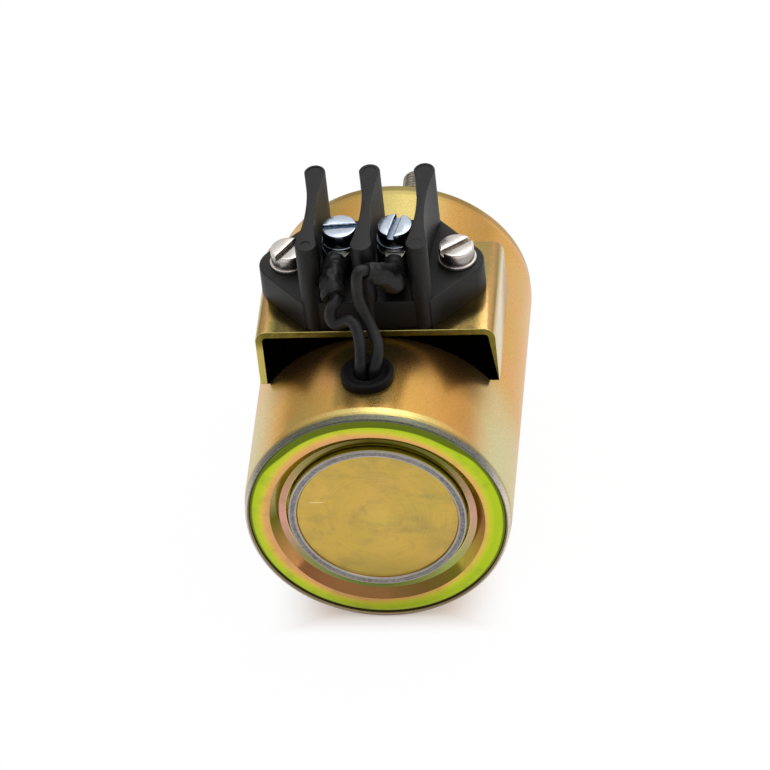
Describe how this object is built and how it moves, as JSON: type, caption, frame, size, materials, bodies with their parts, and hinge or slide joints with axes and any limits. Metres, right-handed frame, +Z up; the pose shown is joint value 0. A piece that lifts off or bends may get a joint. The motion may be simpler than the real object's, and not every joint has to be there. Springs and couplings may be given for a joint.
{
  "type": "push pull solenoid",
  "caption": "Tubular push pull solenoid: closed plated steel case with a sprung sliding rod, and a saddle bracket that carries a two-way screw terminal block.",
  "frame": {"origin": "on the axis of the case, in the plane of the front mounting face", "axes": "+Y along the push rod and out of the front, +Z up through the terminal block, +X across"},
  "size_m": [0.0508, 0.102, 0.072],
  "materials": {
    "case_zinc": "yellow chromate over zinc plate, drawn steel, satin with a soft iridescence",
    "rear_plate_zinc": "yellow-green iridescent chromate on pressed steel",
    "pole_gold": "gold chromate over fine turning marks, with a bare turned rim",
    "front_plate_zinc": "yellow chromate on turned steel",
    "bracket_zinc": "olive-gold chromate on bent sheet, sheared edges brighter",
    "bronze": "sintered bronze, matt",
    "guide_brass": "drawn brass, smooth",
    "nylon_natural": "natural nylon",
    "copper_enamel": "enamelled copper wire",
    "coil_tape": "yellow polyester tape",
    "shim_brass": "flat brass shim",
    "stop_rubber": "black rubber washer",
    "spring_steel": "bright spring wire",
    "plunger_steel": "nickel plated, ground",
    "rod_steel": "stainless, turned, threaded end",
    "block_plastic": "black moulded phenolic, fine grain",
    "insert_brass": "plain brass",
    "bright_zinc": "bright blue zinc, worn slots",
    "nickel_steel": "nickel plated steel",
    "tinned_copper": "tin plate",
    "heat_shrink": "shrunk black sleeve, semi-matt, creased",
    "wire_insulation": "black silicone-rubber insulation, satin",
    "grommet_rubber": "black moulded rubber"
  },
  "bodies": {
    "housing": {"case_tube": "case_zinc", "rear_end_plate": "rear_plate_zinc", "pole_piece": "pole_gold", "front_end_plate": "front_plate_zinc", "front_bush": "bronze", "guide_tube": "guide_brass", "coil_bobbin": "nylon_natural", "coil_winding": "copper_enamel", "coil_tape": "coil_tape", "shim_washer": "shim_brass", "stop_washer": "stop_rubber", "return_spring": "spring_steel", "saddle_bracket": "bracket_zinc", "bracket_welds": "bracket_zinc", "terminal_block": "block_plastic", "terminal_inserts": "insert_brass", "terminal_screws": "bright_zinc", "lock_washers": "bright_zinc", "flat_washers": "bright_zinc", "ear_screws": "nickel_steel", "ear_washers": "nickel_steel", "ear_nuts": "nickel_steel", "ring_terminal_left": "tinned_copper", "ring_terminal_right": "tinned_copper", "sleeve_left": "heat_shrink", "sleeve_right": "heat_shrink", "lead_grommet": "grommet_rubber", "lead_wire_left": "wire_insulation", "lead_wire_right": "wire_insulation"},
    "spring_seat": {"spring_seat": "spring_steel"},
    "plunger": {"plunger": "plunger_steel", "push_rod": "rod_steel"}
  },
  "joints": [
    {"name": "plunger_slide", "type": "slide", "parent": "housing", "child": "spring_seat", "axis": [0, -1, 0], "range_m": [0, 0.015], "stiffness_N_per_m": 400, "springref_m": -0.01, "deforming": ["return_spring"]},
    {"name": "plunger_turn", "type": "hinge", "parent": "spring_seat", "child": "plunger", "pos_m": [0, 0, 0], "axis": [0, 1, 0], "continuous": true}
  ]
}
